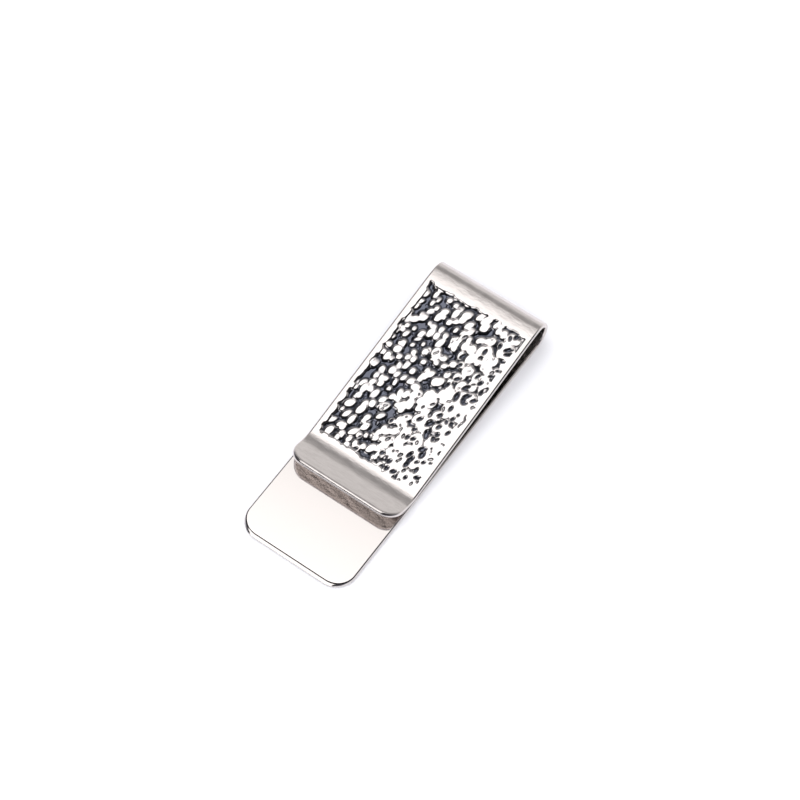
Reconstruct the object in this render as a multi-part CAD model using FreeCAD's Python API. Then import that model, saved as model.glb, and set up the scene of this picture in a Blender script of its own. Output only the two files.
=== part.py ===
"""A spring money clip: one polished metal strip bent into a flat U.

+X runs from the bend to the free ends, Y runs across the strip, and +Z is up.
The origin is under the middle of the clip, on the flat that it rests on.
"""

import FreeCAD, Part
import math
import os

from FreeCAD import Placement, Rotation, Vector

# The strip, in millimetres. Angles are in degrees throughout.
STRIP_WIDTH = 23.3
STRIP_THICKNESS = 0.9
EDGE_ROUND = 0.35  # the polished-over long edges

# The side profile, from the back leaf's tip round the bend to the front lip.
# The front leaf comes down towards the back leaf, and all but touches it where
# the lip starts to turn up: that is where the clip pinches.
OVERALL_LENGTH = 64.3  # back leaf's tip to the outside of the bend
TIP_CORNER_RADIUS = 4.1  # the back leaf's corners, seen from above
BEND_OUTER_RADIUS = 3.3
SETTLING_RADIUS = 16.0  # to the middle of the strip, where the bend eases into the front leaf
SETTLING_TURN = 7.5
CONVERGENCE = 7.0  # the front leaf's slope towards the back leaf
FRONT_LEAF_LENGTH = 36.35
FLARE_RADIUS = 6.8  # to the middle of the strip, where the lip turns up
LIP_RISE = 24.0  # the lip's slope above level
LIP_LENGTH = 4.53
LIP_CORNER_RADIUS = 3.5

# The hammered field, a shallow block let into the front leaf's top.
PANEL_START = 0.3  # straight plain metal between the bend and the hammering
PANEL_LENGTH = 35.9
PANEL_WIDTH = 21.3
PANEL_DEPTH = 0.3
PANEL_CORNER = 0.4

NO_LENGTH = 1e-6  # anything shorter counts as nothing


def ahead(station, length):
    """The place and heading at the end of a straight stretch."""
    x, z, heading = station
    slope = math.radians(heading)
    return x + length * math.cos(slope), z + length * math.sin(slope), heading


def around(station, radius, turn):
    """The place and heading at the end of an arc. A positive turn curves up."""
    x, z, heading = station
    side = math.copysign(radius, turn)
    start = math.radians(heading)
    end = math.radians(heading + turn)
    end_x = x + side * (math.sin(end) - math.sin(start))
    end_z = z + side * (math.cos(start) - math.cos(end))
    return end_x, end_z, heading + turn


def placed(shape, station):
    """A stretch made along local +X from the origin, set down at its station."""
    x, z, heading = station
    moved = shape.copy()
    moved.Placement = Placement(Vector(x, 0, z), Rotation(Vector(0, -1, 0), heading))
    return moved


def strip_section():
    """The strip's rounded cross-section, in the YZ plane about its centre."""
    y = STRIP_WIDTH / 2 - EDGE_ROUND
    z = STRIP_THICKNESS / 2 - EDGE_ROUND
    corners = []
    for quarter, (centre_y, centre_z) in enumerate([(y, z), (-y, z), (-y, -z), (y, -z)]):
        arc = []
        for step in (0, 45, 90):
            angle = math.radians(90 * quarter + step)
            across = centre_y + EDGE_ROUND * math.cos(angle)
            up = centre_z + EDGE_ROUND * math.sin(angle)
            arc.append(Vector(0, across, up))
        corners.append(arc)
    edges = []
    for arc, following in zip(corners, corners[1:] + corners[:1]):
        edges.append(Part.Arc(*arc).toShape())
        edges.append(Part.makeLine(arc[-1], following[0]))
    return Part.Face(Part.Wire(edges))


def straight_stretch(length):
    return strip_section().extrude(Vector(length, 0, 0))


def curved_stretch(radius, turn):
    side = math.copysign(1, turn)
    return strip_section().revolve(Vector(0, 0, side * radius), Vector(0, -side, 0), abs(turn))


def corner_points(length, radius, side):
    """Three points of a free end's rounded corner, from its flank to its end."""
    half = STRIP_WIDTH / 2
    base = -STRIP_THICKNESS / 2
    inset = radius * (1 - math.sqrt(0.5))  # where the arc's middle lies
    return [
        Vector(length - radius, side * half, base),
        Vector(length - inset, side * (half - inset), base),
        Vector(length, side * (half - radius), base),
    ]


def is_rim(edge):
    """Whether an edge runs along a plate's outline, other than across its root."""
    box = edge.BoundBox
    return box.ZLength < NO_LENGTH and box.XMax > NO_LENGTH


def free_end(length, corner_radius):
    """A straight stretch that ends in the strip's rounded-off free end."""
    right = corner_points(length, corner_radius, -1)
    left = corner_points(length, corner_radius, 1)
    root_right = Vector(0, right[0].y, right[0].z)
    root_left = Vector(0, left[0].y, left[0].z)
    outline = [
        Part.makeLine(root_left, root_right),
        Part.makeLine(root_right, right[0]),
        Part.Arc(*right).toShape(),
        Part.makeLine(right[2], left[2]),
        Part.Arc(*left[::-1]).toShape(),
        Part.makeLine(left[0], root_left),
    ]
    plate = Part.Face(Part.Wire(outline)).extrude(Vector(0, 0, STRIP_THICKNESS))
    return plate.makeFillet(EDGE_ROUND, [edge for edge in plate.Edges if is_rim(edge)])


def panel_block():
    """The hammered field's block, in the front leaf's own directions."""
    corner = Vector(PANEL_START, -PANEL_WIDTH / 2, STRIP_THICKNESS / 2 - PANEL_DEPTH)
    block = Part.makeBox(PANEL_LENGTH, PANEL_WIDTH, PANEL_DEPTH, corner)
    upright = [edge for edge in block.Edges if edge.BoundBox.ZLength > NO_LENGTH]
    return block.makeFillet(PANEL_CORNER, upright)


def build():
    middle_radius = BEND_OUTER_RADIUS - STRIP_THICKNESS / 2
    root_x = BEND_OUTER_RADIUS - OVERALL_LENGTH / 2
    upper_turn = SETTLING_TURN - 90 - CONVERGENCE
    flare_turn = CONVERGENCE + LIP_RISE

    # The stations along the strip's middle, each with its heading: the back leaf
    # runs outwards from its root, and everything else follows on inwards from it.
    outwards = (root_x, STRIP_THICKNESS / 2, 0)
    inwards = (root_x, STRIP_THICKNESS / 2, 180)
    apex = around(inwards, middle_radius, -90)
    settling = around(apex, middle_radius, upper_turn)
    leaf = around(settling, SETTLING_RADIUS, -SETTLING_TURN)
    flare = ahead(leaf, FRONT_LEAF_LENGTH)
    lip = around(flare, FLARE_RADIUS, flare_turn)

    upper_arc = placed(curved_stretch(middle_radius, upper_turn), apex)
    settling_arc = placed(curved_stretch(SETTLING_RADIUS, -SETTLING_TURN), settling)
    front_leaf = straight_stretch(FRONT_LEAF_LENGTH).cut(panel_block())
    flared_root = placed(curved_stretch(FLARE_RADIUS, flare_turn), flare)
    flared_end = placed(free_end(LIP_LENGTH, LIP_CORNER_RADIUS), lip)

    return {
        "back_leaf": placed(free_end(OVERALL_LENGTH - BEND_OUTER_RADIUS, TIP_CORNER_RADIUS), outwards),
        "lower_bend": placed(curved_stretch(middle_radius, -90), inwards),
        "upper_bend": upper_arc.fuse(settling_arc).removeSplitter(),
        "front_leaf": placed(front_leaf, leaf),
        "hammered_panel": placed(panel_block(), leaf),
        "front_lip": flared_root.fuse(flared_end).removeSplitter(),
    }


os.makedirs("parts", exist_ok=True)
for node, solid in build().items():
    assert solid.isValid() and len(solid.Solids) == 1, node
    solid.exportStep(f"parts/{node}.step")
    print(f"{node:16s} {solid.Volume:8.2f} mm3")
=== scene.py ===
"""The money clip's looks: one polished strip, hammered on its front leaf.

Lengths are in metres, and 5 * MM is 5 millimetres. The relief of the hammering is worked out
in plain millimetres.
"""

import math
import random

import bpy
import numpy as np
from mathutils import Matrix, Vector


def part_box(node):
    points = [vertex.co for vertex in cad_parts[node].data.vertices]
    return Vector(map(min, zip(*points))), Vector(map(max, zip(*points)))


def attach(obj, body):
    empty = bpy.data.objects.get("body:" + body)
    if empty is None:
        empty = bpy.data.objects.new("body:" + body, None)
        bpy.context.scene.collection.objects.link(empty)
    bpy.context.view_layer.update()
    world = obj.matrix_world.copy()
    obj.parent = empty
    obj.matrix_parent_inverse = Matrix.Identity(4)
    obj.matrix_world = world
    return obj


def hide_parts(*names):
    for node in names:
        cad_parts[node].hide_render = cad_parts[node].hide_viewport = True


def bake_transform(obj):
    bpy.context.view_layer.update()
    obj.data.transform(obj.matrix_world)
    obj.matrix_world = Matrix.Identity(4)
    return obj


MM = 0.001

# The side profile, as in the CAD: the rest of the strip's size comes from the frame.
SETTLING_RADIUS = 16 * MM
SETTLING_TURN = math.radians(7.5)
CONVERGENCE = math.radians(7)
FRONT_LEAF_LENGTH = 36.35 * MM
FLARE_RADIUS = 6.8 * MM
LIP_RISE = math.radians(24)
LIP_LENGTH = 4.53 * MM
LIP_CORNER = 3.5 * MM
TIP_CORNER = 4.1 * MM
PANEL_START = 0.3 * MM
PANEL_LENGTH = 35.9 * MM
PANEL_WIDTH = 21.3 * MM
PANEL_DEPTH = 0.3 * MM

# The polished-over edges: how far in from the outline they start.
FLANK_ROUND = 0.35 * MM
BEVEL_CROWN = 1.0 * MM  # the radius between a leaf's face and the bevel at its free end
TIP_BEVEL = math.radians(32)
LIP_BEVEL = math.radians(50)
EDGE_STEPS = 8
GUARD = 0.08 * MM  # flat metal beside a curve, so that the curve's shading stops there

ARC_STEP = math.radians(2.5)
CORNER_STEPS = 20
SHARP_ANGLE = math.radians(50)  # edges sharper than this aren't shaded smooth
SLACK = 1e-9  # how near two places along the strip count as one
SEAM_RUN = 5 * MM  # how far along the back leaf the front strip's mesh starts

# The hammering: a field of bubbles, which turns into separate pits towards +Y.
GRID = 0.075 * MM
SEED = 11
# Spacing across the panel, range of crown radii and range of tops, in millimetres.
LARGE_BUBBLES = (1.4, (0.6, 1.1), (-0.06, 0.03))
SMALL_BUBBLES = (0.8, (0.2, 0.4), (-0.26, -0.13))
PITS = (1.15, (0.1, 0.25), (0.1, 0.36))  # bubbles too, pressed into the face
JITTER = 0.46  # how far a bubble strays from its place, in pitches
REACH = 2.6  # how far from its middle a bubble counts, in pitches
BUBBLE_LEAN = math.radians(-17)  # the way most bubbles are drawn out
LEAN_SPREAD = 0.3  # radians
BUBBLE_STRETCH = 1.35  # how far they are drawn out
PIT_STRETCH = 1.9  # the same for the pits
STRETCH_SPREAD = (0.8, 1.25)
BUBBLE_TILT = 0.05
BUBBLE_SLOPE = 0.9  # the steepest that their flanks get
SHARPNESS = 80.0  # how crisply the bubbles meet, per millimetre
LOWEST = -8.0  # millimetres, far below the panel
NOTHING = 1e-30  # keeps a logarithm finite where no bubble reaches
SUNK = 0.08  # how far the field lies below its margin on the -Y side, in millimetres
# The blows' lightness runs from 0 to 1 across the panel, times a factor that has this value
# at the bend and gains this much along the leaf.
LIGHTNESS_AT_BEND = 0.6
LIGHTNESS_GAIN = 0.5
# Where the tops are cut off, in millimetres, and how that drops with the lightness.
CAP = 0.02
CAP_FALL = 0.07
CAP_PLUNGE = 0.25
# The lightness with the deepest pits, and how fast they fade away from it.
PIT_PEAK = 0.88
PIT_FADE = 0.45
# The cut down from the margin, in millimetres: its slope, its usual place, how far the
# bubbles' tops push it about, how far in it may lie, and the run over which the rim fades in.
CUT_SLOPE = 0.35
CUT_PLACE = 0.45
CUT_PUSH = 2.5
CUT_LIMIT = 0.5
RIM_RUN = 0.15
# The depth at which the painted shade in the hollows starts and the range over which it is full.
HOLLOW_SHADE_START = 0.05
HOLLOW_SHADE_RANGE = 0.08
DEPTH_SHARE = 0.93  # how much of the panel's depth the relief may take

# The metals, their polishing's patches, the painted shade in the hammering's hollows and the floor.
MIRROR_COLOUR = (0.67, 0.63, 0.61)
SATIN_COLOUR = (0.69, 0.64, 0.62)
HAMMERED_COLOUR = (0.67, 0.63, 0.62)
# Painted shade: a dark bluish tone laid into the deeper hollows of the hammering.
HOLLOW_SHADE_COLOUR = (0.1, 0.105, 0.13)
PATCH_SCALE = (1300, 450, 1300)  # per metre
PATCH_RANGE = (0.35, 0.65)  # the part of the noise that is spread over the whole patch
PATCH_DULLING = 0.2
PATCH_RELIEF = 0.02 * MM
ROUGHNESS_SPREAD = 0.2
FLOOR_SIZE = 3.0
FLOOR_COLOUR = (0.93, 0.93, 0.95, 1)

# The dome. Each backdrop is (height of the direction, brightness) from level to straight up.
DOME_TO_FLOOR = (1.08, 1.08, 1.11, 1)
FAR_BACKDROP = [(0.0, 0.93), (0.34, 0.9), (0.46, 0.72), (0.56, 0.46), (0.7, 0.4), (0.82, 0.45), (1.0, 0.5)]
NEAR_BACKDROP = [(0.0, 0.9), (0.16, 0.8), (0.3, 0.25), (0.5, 0.12), (0.68, 0.05), (0.85, 0.03), (1.0, 0.03)]
NEAR_TINT = (0.97, 0.98, 1.1)
BACKDROPS_MEET = (-0.52, -0.28)  # the range of the direction's X over which far turns into near


class Strip:
    """A run of strip: straight stretches and arcs, followed along its middle."""

    def __init__(self, x, z, heading):
        self.stretches = []
        self.length = 0.0
        self.end = (x, z, heading)

    def go(self, length, radius=None, turn=0.0):
        """Adds a straight stretch, or an arc if it has a radius and a turn."""
        self.stretches.append((self.length, self.end, radius, turn))
        if radius:
            length = radius * abs(turn)
        self.length += length
        x, _, z = self.point(self.length, 0, 0)
        self.end = (x, z, self.end[2] + turn)

    def point(self, s, y, h):
        """The place at s along the strip, y across it and h above its middle."""
        start, (x, z, heading), radius, turn = self.stretches[0]
        for stretch in self.stretches:
            if stretch[0] <= s + SLACK:
                start, (x, z, heading), radius, turn = stretch
        run = s - start
        if radius:
            side = math.copysign(radius, turn)
            now = heading + run / side
            x += side * (math.sin(now) - math.sin(heading))
            z += side * (math.cos(heading) - math.cos(now))
        else:
            now = heading
            x += run * math.cos(now)
            z += run * math.sin(now)
        return (x - h * math.sin(now), y, z + h * math.cos(now))

    def stations(self, last):
        """Where cross-sections are needed, from the start to s = last."""
        found = {0.0, last}
        for start, _, radius, turn in self.stretches:
            if radius:
                steps = math.ceil(abs(turn) / ARC_STEP)
                length = radius * abs(turn)
                found.update(start + length * i / steps for i in range(steps + 1))
                found.update((start - GUARD, start + length + GUARD))
        return sorted(s for s in found if 0 <= s <= last)


def bevel_run(depth, slope):
    """How far past the end of the flat face a bevel has come, at a depth below the face."""
    crown_depth = min(depth, BEVEL_CROWN * (1 - math.cos(slope)))
    crown_run = math.sqrt(2 * BEVEL_CROWN * crown_depth - crown_depth ** 2)
    return crown_run + (depth - crown_depth) / math.tan(slope)


def edge_profile(thickness, slope):
    """Rings round the outline, from the underside to the top, with a bevel at the free end.

    Each is (inset at the flanks, inset at the free end, height above the middle).
    """
    half = thickness / 2
    rings = [(FLANK_ROUND + GUARD, FLANK_ROUND + GUARD, -half)]
    for i in range(EDGE_STEPS + 1):
        a = math.pi / 2 * i / EDGE_STEPS
        inset = FLANK_ROUND * (1 - math.sin(a))
        rings.append((inset, inset, -half + FLANK_ROUND * (1 - math.cos(a))))
    end_run = bevel_run(FLANK_ROUND, slope)
    for i in range(EDGE_STEPS + 1):
        a = math.pi / 2 * i / EDGE_STEPS
        depth = FLANK_ROUND * (1 - math.sin(a))
        flank_inset = FLANK_ROUND * (1 - math.cos(a))
        rings.append((flank_inset, end_run - bevel_run(depth, slope), half - depth))
    rings.append((FLANK_ROUND + GUARD, end_run + GUARD, half))
    return rings


def ring_points(strip, stations, width, corner, ring):
    """One ring: along the left flank, round the free end and back along the right."""
    flank_in, end_in, h = ring
    flank = width / 2
    left = [(s, flank - flank_in) for s in stations]
    centre_s = strip.length - corner
    for i in range(1, CORNER_STEPS + 1):
        a = math.pi / 2 * (1 - i / CORNER_STEPS)
        s = centre_s + (corner - end_in) * math.cos(a)
        y = flank - corner + (corner - flank_in) * math.sin(a)
        left.append((s, y))
    right = [(s, -y) for s, y in reversed(left)]
    return [strip.point(s, y, h) for s, y in left + right]


def mesh_object(name, points, faces, material):
    mesh = bpy.data.meshes.new(name)
    mesh.from_pydata([tuple(p) for p in points], [], faces)
    mesh.validate()
    mesh.shade_smooth()
    mesh.set_sharp_from_angle(angle=SHARP_ANGLE)
    mesh.materials.append(material)
    made = bpy.data.objects.new(name, mesh)
    bpy.context.scene.collection.objects.link(made)
    return made


def pocket_corners(strip, thickness, pocket, points):
    """Adds the pocket's corners to the points, and finds them by (s, side, at the rim)."""
    first, last, half_width, depth = pocket
    heights = {True: thickness / 2, False: thickness / 2 - depth}
    corners = {}
    for s in (first, last):
        for side in (1, -1):
            for at_rim, h in heights.items():
                corners[s, side, at_rim] = len(points)
                points.append(strip.point(s, side * half_width, h))
    return corners


def pocket_faces(pocket, corners):
    """The pocket's four walls and its floor."""
    first, last = pocket[:2]
    outline = [(first, 1), (last, 1), (last, -1), (first, -1)]
    rim = [corners[(*at, True)] for at in outline]
    floor_corners = [corners[(*at, False)] for at in outline]
    faces = []
    for i in range(4):
        j = (i + 1) % 4
        faces.append((rim[i], rim[j], floor_corners[j], floor_corners[i]))
    faces.append(tuple(floor_corners))
    return faces


def top_faces(a, b, here, there, pocket, corners):
    """The top's faces between two cross-sections, open over the pocket.

    a and b are the first one's left and right points, and the sections lie at s = here
    and s = there.
    """
    if not pocket:
        return [(a, a + 1, b - 1, b)]
    near = [corners[pocket[0], side, True] for side in (1, -1)]
    far = [corners[pocket[1], side, True] for side in (1, -1)]
    if here == pocket[0]:
        return [(a, a + 1, far[0], near[0]), (near[1], far[1], b - 1, b)]
    if there == pocket[0]:
        return [(a, a + 1, near[0], near[1], b - 1, b)]
    if here == pocket[1]:
        return [(a, a + 1, b - 1, b, far[1], far[0])]
    return [(a, a + 1, b - 1, b)]


def strip_mesh(name, strip, width, thickness, corner, bevel, material, pocket=None):
    """A strip with one free end, closed all round, and with a pocket if it has one.

    pocket is (first s, last s, half width, depth), in a straight stretch.
    """
    stations = strip.stations(strip.length - corner)
    if pocket:
        stations = sorted(set(stations) | {pocket[0], pocket[1]})
    rings = edge_profile(thickness, bevel)
    points = []
    for ring in rings:
        points += ring_points(strip, stations, width, corner, ring)
    count = len(points) // len(rings)
    faces = []
    for r in range(len(rings) - 1):
        for i in range(count - 1):
            a = r * count + i
            faces.append((a, a + 1, a + 1 + count, a + count))
    corners = pocket_corners(strip, thickness, pocket, points) if pocket else {}
    top = (len(rings) - 1) * count
    for i in range(count // 2 - 1):
        left = i
        right = count - 1 - i
        faces.append((left, right, right - 1, left + 1))
        here, there = stations[i : i + 2] if i < len(stations) - 1 else (None, None)
        faces += top_faces(top + left, top + right, here, there, pocket, corners)
    if pocket:
        faces += pocket_faces(pocket, corners)
    root = [r * count for r in range(len(rings))]
    root += [r * count + count - 1 for r in reversed(range(len(rings)))]
    faces.append(tuple(root))
    return mesh_object(name, points, faces, material)


def smooth_step(t):
    t = np.clip(t, 0, 1)
    return t * t * (3 - 2 * t)


def bubbles(rng, along, across, pitch, size, level, stretch=BUBBLE_STRETCH):
    """A field of close-set bubbles: the height over the grid, in millimetres.

    pitch is their spacing across the panel, size the range of their crowns' radii,
    level the range of their tops and stretch how far they are drawn out.
    """
    length = PANEL_LENGTH / MM
    width = PANEL_WIDTH / MM
    pitch_u = pitch * stretch
    reach = REACH * pitch
    total = np.full((len(along), len(across)), NOTHING)
    for i in range(-1, int(length / pitch_u) + 2):
        for j in range(-1, int(width / pitch) + 2):
            u = (i + rng.uniform(-JITTER, JITTER)) * pitch_u
            v = (j + 0.5 * (i % 2) + rng.uniform(-JITTER, JITTER)) * pitch - width / 2
            crown = rng.uniform(*size)
            drawn_out = rng.uniform(*STRETCH_SPREAD) * stretch
            lean = rng.gauss(BUBBLE_LEAN, LEAN_SPREAD)
            tilt_u = rng.gauss(0, BUBBLE_TILT)
            tilt_v = rng.gauss(0, BUBBLE_TILT)
            top = rng.uniform(*level)
            near_u = np.abs(along - u) < reach
            near_v = np.abs(across - v) < reach
            if not near_u.any() or not near_v.any():
                continue
            du = along[near_u][:, None] - u
            dv = across[near_v][None, :] - v
            p = (du * math.cos(lean) + dv * math.sin(lean)) / drawn_out
            q = -du * math.sin(lean) + dv * math.cos(lean)
            # Nearly flat over the crown, then down at an even slope.
            fall = BUBBLE_SLOPE * (((p * p + q * q) ** 2 + crown ** 4) ** 0.25 - crown)
            dome = np.maximum(top + tilt_u * du + tilt_v * dv - fall, LOWEST)
            total[np.ix_(near_u, near_v)] += np.exp(SHARPNESS * dome)
    return np.log(total) / SHARPNESS


def smooth_max(a, b):
    return np.logaddexp(SHARPNESS * a, SHARPNESS * b) / SHARPNESS


def smooth_min(a, b):
    return -smooth_max(-a, -b)


def hammered_height(along, across):
    """The relief's height over the grid, in millimetres, with the plain margin at 0.

    With it comes how much painted shade each place gets, from 0 to 1, more in the deeper hollows.
    """
    rng = random.Random(SEED)
    length = PANEL_LENGTH / MM
    width = PANEL_WIDTH / MM
    large = bubbles(rng, along, across, *LARGE_BUBBLES)
    small = bubbles(rng, along, across, *SMALL_BUBBLES)
    height = smooth_max(large, small)
    # Towards +Y the blows are lighter: the tops are cut off lower and so lie flat and wide.
    share = ((across + width / 2) / width)[None, :]
    share = share * (LIGHTNESS_AT_BEND + LIGHTNESS_GAIN * along / length)[:, None]
    cap = CAP - CAP_FALL * share - CAP_PLUNGE * share ** 3
    sunk = SUNK * (0.5 - across / width)[None, :]
    height = smooth_min(height, cap) - cap - sunk
    # There, the gaps give way to separate pits.
    pits = bubbles(rng, along, across, *PITS, PIT_STRETCH)
    height = smooth_min(height, PIT_FADE * np.abs(PIT_PEAK - share) - sunk - pits)
    # The field is cut down from the margin, and the blows break the cut's edge up.
    from_end = np.minimum(along, length - along)[:, None]
    from_flank = np.minimum(across + width / 2, width / 2 - across)[None, :]
    edge = np.minimum(from_end, from_flank)
    ragged = np.clip(CUT_PLACE + CUT_PUSH * large, 0, CUT_LIMIT)
    height = smooth_max(height, -CUT_SLOPE * (edge - ragged))
    height = np.minimum(height, 0) * smooth_step(edge / RIM_RUN)
    # Painted shade: the deeper the hollow, the darker it is painted.
    hollow_shade = np.clip((-height - sunk - HOLLOW_SHADE_START) / HOLLOW_SHADE_RANGE, 0, 1)
    return np.maximum(height, -DEPTH_SHARE * PANEL_DEPTH / MM), hollow_shade


def hammered_panel(strip, start, face_height, material):
    """The hammered field: a closed block whose top carries the relief.

    start is where it begins along the strip, and face_height where the plain face lies.
    """
    length = PANEL_LENGTH / MM
    width = PANEL_WIDTH / MM
    along = np.linspace(0, length, int(PANEL_LENGTH / GRID) + 1)
    across = np.linspace(-width / 2, width / 2, int(PANEL_WIDTH / GRID) + 1)
    height, hollow_shade = hammered_height(along, across)
    points = []
    for i, u in enumerate(along):
        for j, v in enumerate(across):
            points.append(strip.point(start + u * MM, v * MM, face_height + height[i, j] * MM))
    rows = len(along)
    columns = len(across)
    faces = []
    for i in range(rows - 1):
        for j in range(columns - 1):
            a = i * columns + j
            faces.append((a, a + columns, a + columns + 1, a + 1))
    border = list(range(columns))
    border += [i * columns + columns - 1 for i in range(1, rows)]
    border += [(rows - 1) * columns + j for j in range(columns - 2, -1, -1)]
    border += [i * columns for i in range(rows - 2, 0, -1)]
    base = len(points)
    for k in border:
        i, j = divmod(k, columns)
        points.append(strip.point(start + along[i] * MM, across[j] * MM, face_height - PANEL_DEPTH))
    for n in range(len(border)):
        m = (n + 1) % len(border)
        faces.append((border[n], border[m], base + m, base + n))
    faces.append(tuple(base + n for n in range(len(border))))
    made = mesh_object("hammered_panel", points, faces, material)
    # The mask of painted shade in the hollows, carried on the points.
    depth = made.data.attributes.new("hollow", "FLOAT", "POINT")
    depth.data.foreach_set("value", [*hollow_shade.ravel(), *[0.0] * len(border)])
    return made


def metal(name, colour, roughness, streaks=0.0, hollow_shade=None):
    """Polished white metal. streaks is how strongly the polishing's patches show.

    The last argument is the colour of the painted shade that darkens the hollows of the hammering.
    """
    made = bpy.data.materials.new(name)
    made.use_nodes = True
    nodes, links = made.node_tree.nodes, made.node_tree.links
    shader = nodes["Principled BSDF"]
    shader.inputs["Metallic"].default_value = 1.0
    place = nodes.new("ShaderNodeTexCoord")
    stretch = nodes.new("ShaderNodeMapping")
    stretch.inputs["Scale"].default_value = PATCH_SCALE
    links.new(place.outputs["Object"], stretch.inputs["Vector"])
    grain = nodes.new("ShaderNodeTexNoise")
    grain.inputs["Scale"].default_value = 1.0
    grain.inputs["Detail"].default_value = 4.0
    links.new(stretch.outputs["Vector"], grain.inputs["Vector"])
    patches = nodes.new("ShaderNodeMapRange")
    patches.inputs["From Min"].default_value = PATCH_RANGE[0]
    patches.inputs["From Max"].default_value = PATCH_RANGE[1]
    links.new(grain.outputs["Fac"], patches.inputs["Value"])
    rough = nodes.new("ShaderNodeMapRange")
    rough.inputs["To Min"].default_value = roughness * (1 - ROUGHNESS_SPREAD)
    rough.inputs["To Max"].default_value = roughness * (1 + ROUGHNESS_SPREAD)
    links.new(patches.outputs["Result"], rough.inputs["Value"])
    links.new(rough.outputs["Result"], shader.inputs["Roughness"])
    dull = tuple(c * (1 - PATCH_DULLING * streaks) for c in colour)
    tone = mix_colours(nodes, links, patches.outputs["Result"], (*dull, 1), (*colour, 1))
    # Painted shade: the hollows are mixed towards the dark colour by the panel's mask.
    if hollow_shade:
        depth = nodes.new("ShaderNodeAttribute")
        depth.attribute_name = "hollow"
        tone = mix_colours(nodes, links, depth.outputs["Fac"], tone, (*hollow_shade, 1))
    links.new(tone, shader.inputs["Base Color"])
    if streaks:
        bump = nodes.new("ShaderNodeBump")
        bump.inputs["Strength"].default_value = streaks
        bump.inputs["Distance"].default_value = PATCH_RELIEF
        links.new(patches.outputs["Result"], bump.inputs["Height"])
        links.new(bump.outputs["Normal"], shader.inputs["Normal"])
    return made


def floor_material():
    made = bpy.data.materials.new("pale_floor")
    made.use_nodes = True
    shader = made.node_tree.nodes["Principled BSDF"]
    shader.inputs["Base Color"].default_value = FLOOR_COLOUR
    shader.inputs["Roughness"].default_value = 0.7
    shader.inputs["Specular IOR Level"].default_value = 0.0
    return made


def floor(size):
    mesh = bpy.data.meshes.new("floor")
    half = size / 2
    corners = [(-half, -half, 0), (half, -half, 0), (half, half, 0), (-half, half, 0)]
    mesh.from_pydata(corners, [], [(0, 1, 2, 3)])
    mesh.materials.append(floor_material())
    made = bpy.data.objects.new("floor", mesh)
    bpy.context.scene.collection.objects.link(made)


def direction(azimuth, elevation):
    a, e = math.radians(azimuth), math.radians(elevation)
    return Vector((math.sin(a) * math.cos(e), -math.cos(a) * math.cos(e), math.sin(e)))


def softbox(name, place, target, width, depth, brightness, soft_share):
    """A panel of light that faces its target and rises softly to its brightness.

    soft_share is the part of its width, from one side, over which it rises.
    """
    light = bpy.data.lights.new(name, "AREA")
    light.shape = "RECTANGLE"
    light.size = width
    light.size_y = depth
    light.energy = brightness * math.pi * width * depth
    light.use_nodes = True
    nodes, links = light.node_tree.nodes, light.node_tree.links
    across = nodes.new("ShaderNodeNewGeometry")
    split = nodes.new("ShaderNodeSeparateXYZ")
    links.new(across.outputs["Parametric"], split.inputs["Vector"])
    fade = nodes.new("ShaderNodeValToRGB")
    fade.color_ramp.interpolation = "EASE"
    fade.color_ramp.elements[0].color = (0, 0, 0, 1)
    fade.color_ramp.elements[1].position = soft_share
    links.new(split.outputs["X"], fade.inputs["Fac"])
    links.new(fade.outputs["Color"], nodes["Emission"].inputs["Color"])
    made = bpy.data.objects.new(name, light)
    made.location = place
    made.rotation_euler = (Vector(target) - Vector(place)).to_track_quat("-Z", "Y").to_euler()
    bpy.context.scene.collection.objects.link(made)


def ramp(nodes, stops, tint=(1, 1, 1)):
    """A colour ramp through (position, brightness) stops."""
    made = nodes.new("ShaderNodeValToRGB")
    elements = made.color_ramp.elements
    while len(elements) < len(stops):
        elements.new(0.5)
    for element, (position, value) in zip(elements, stops):
        element.position = position
        element.color = (*[value * c for c in tint], 1)
    return made


def mix_colours(nodes, links, factor, a, b):
    made = nodes.new("ShaderNodeMix")
    made.data_type = "RGBA"
    links.new(factor, made.inputs["Factor"])
    for socket, value in ((made.inputs["A"], a), (made.inputs["B"], b)):
        if isinstance(value, tuple):
            socket.default_value = value
        else:
            links.new(value, socket)
    return made.outputs["Result"]


def studio_dome():
    """An even pale dome to the floor; in the metal, a pale far backdrop and a dark near one."""
    world = bpy.data.worlds.new("studio")
    bpy.context.scene.world = world
    world.use_nodes = True
    nodes, links = world.node_tree.nodes, world.node_tree.links
    background = nodes["Background"]
    place = nodes.new("ShaderNodeTexCoord")
    split = nodes.new("ShaderNodeSeparateXYZ")
    links.new(place.outputs["Generated"], split.inputs["Vector"])
    far = ramp(nodes, FAR_BACKDROP)
    near = ramp(nodes, NEAR_BACKDROP, NEAR_TINT)
    side = nodes.new("ShaderNodeMapRange")
    side.interpolation_type = "SMOOTHSTEP"
    side.inputs["From Min"].default_value = BACKDROPS_MEET[0]
    side.inputs["From Max"].default_value = BACKDROPS_MEET[1]
    links.new(split.outputs["X"], side.inputs["Value"])
    links.new(split.outputs["Z"], far.inputs["Fac"])
    links.new(split.outputs["Z"], near.inputs["Fac"])
    studio = mix_colours(nodes, links, side.outputs["Result"], far.outputs["Color"], near.outputs["Color"])
    rays = nodes.new("ShaderNodeLightPath")
    seen = mix_colours(nodes, links, rays.outputs["Is Glossy Ray"], DOME_TO_FLOOR, studio)
    links.new(seen, background.inputs["Color"])
    background.inputs["Strength"].default_value = 1.0


def camera(target, azimuth, elevation, distance, lens):
    data = bpy.data.cameras.new("camera")
    data.lens = lens
    data.sensor_width = 36
    data.clip_start = 0.01
    made = bpy.data.objects.new("camera", data)
    back = direction(azimuth, elevation)
    made.location = Vector(target) + back * distance
    made.rotation_euler = back.to_track_quat("Z", "Y").to_euler()
    bpy.context.scene.collection.objects.link(made)
    bpy.context.scene.camera = made


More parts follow.
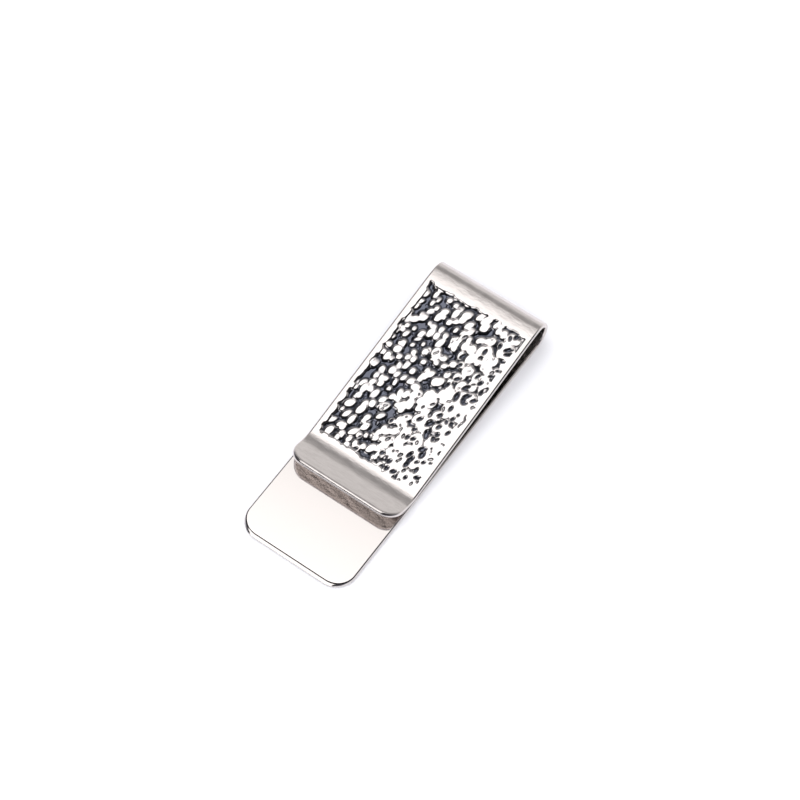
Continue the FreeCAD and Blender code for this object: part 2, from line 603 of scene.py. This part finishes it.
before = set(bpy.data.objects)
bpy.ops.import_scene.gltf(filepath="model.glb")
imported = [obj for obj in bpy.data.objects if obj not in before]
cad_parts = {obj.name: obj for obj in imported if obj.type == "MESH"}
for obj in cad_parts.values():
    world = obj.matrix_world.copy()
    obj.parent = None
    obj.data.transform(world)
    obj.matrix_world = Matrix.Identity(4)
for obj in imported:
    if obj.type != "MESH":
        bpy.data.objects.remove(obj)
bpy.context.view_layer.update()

camera(target=(-5.5 * MM, -2.7 * MM, 0), azimuth=125.4, elevation=61.2, distance=0.4636, lens=115)
bpy.context.scene.view_settings.view_transform = "Standard"

low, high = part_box("back_leaf")
width = high[1] - low[1]
thickness = high[2] - low[2]
root_x = low[0]
tip_x = high[0]
outer_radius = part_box("lower_bend")[1][2]
middle_radius = outer_radius - thickness / 2

mirror = metal("polished_metal", MIRROR_COLOUR, 0.08)
satin = metal("satin_metal", SATIN_COLOUR, 0.2, streaks=0.5)
# The hammered metal gets painted shade in its hollows.
hammered = metal("hammered_metal", HAMMERED_COLOUR, 0.07, hollow_shade=HOLLOW_SHADE_COLOUR)

# The back leaf, from the seam to its tip.
back = Strip(root_x + SEAM_RUN, thickness / 2, 0.0)
back.go(tip_x - root_x - SEAM_RUN)
back_leaf = strip_mesh("back_leaf_strip", back, width, thickness, TIP_CORNER, TIP_BEVEL, mirror)
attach(back_leaf, "back")
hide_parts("back_leaf")

# The front strip: from the seam round the bend, along the front leaf and up the lip.
front = Strip(root_x + SEAM_RUN, thickness / 2, math.pi)
front.go(SEAM_RUN)
front.go(0, middle_radius, SETTLING_TURN - math.pi - CONVERGENCE)
front.go(0, SETTLING_RADIUS, -SETTLING_TURN)
panel_start = front.length + PANEL_START
front.go(FRONT_LEAF_LENGTH)
front.go(0, FLARE_RADIUS, CONVERGENCE + LIP_RISE)
front.go(LIP_LENGTH)
pocket = (panel_start, panel_start + PANEL_LENGTH, PANEL_WIDTH / 2, PANEL_DEPTH)
front_strip = strip_mesh("front_strip", front, width, thickness, LIP_CORNER, LIP_BEVEL, satin, pocket)
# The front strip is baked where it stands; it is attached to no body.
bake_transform(front_strip)
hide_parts("lower_bend", "upper_bend", "front_leaf", "front_lip")

# The hammered field, in the front leaf's pocket.
panel = hammered_panel(front, panel_start, thickness / 2, hammered)
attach(panel, "front")
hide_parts("hammered_panel")

# The studio: one light for the faces that lie flat, and one for the bevels at the free ends.
floor(FLOOR_SIZE)
studio_dome()
softbox(
    "overhead", place=(-0.448, -0.38, 1.5), target=(-0.448, -0.38, 0),
    width=1.016, depth=0.76, brightness=1.9, soft_share=0.6,
)
softbox(
    "front", place=(0.74, -0.3, 0.88), target=(0, 0, 0),
    width=1.2, depth=0.5, brightness=1.7, soft_share=0.15,
)
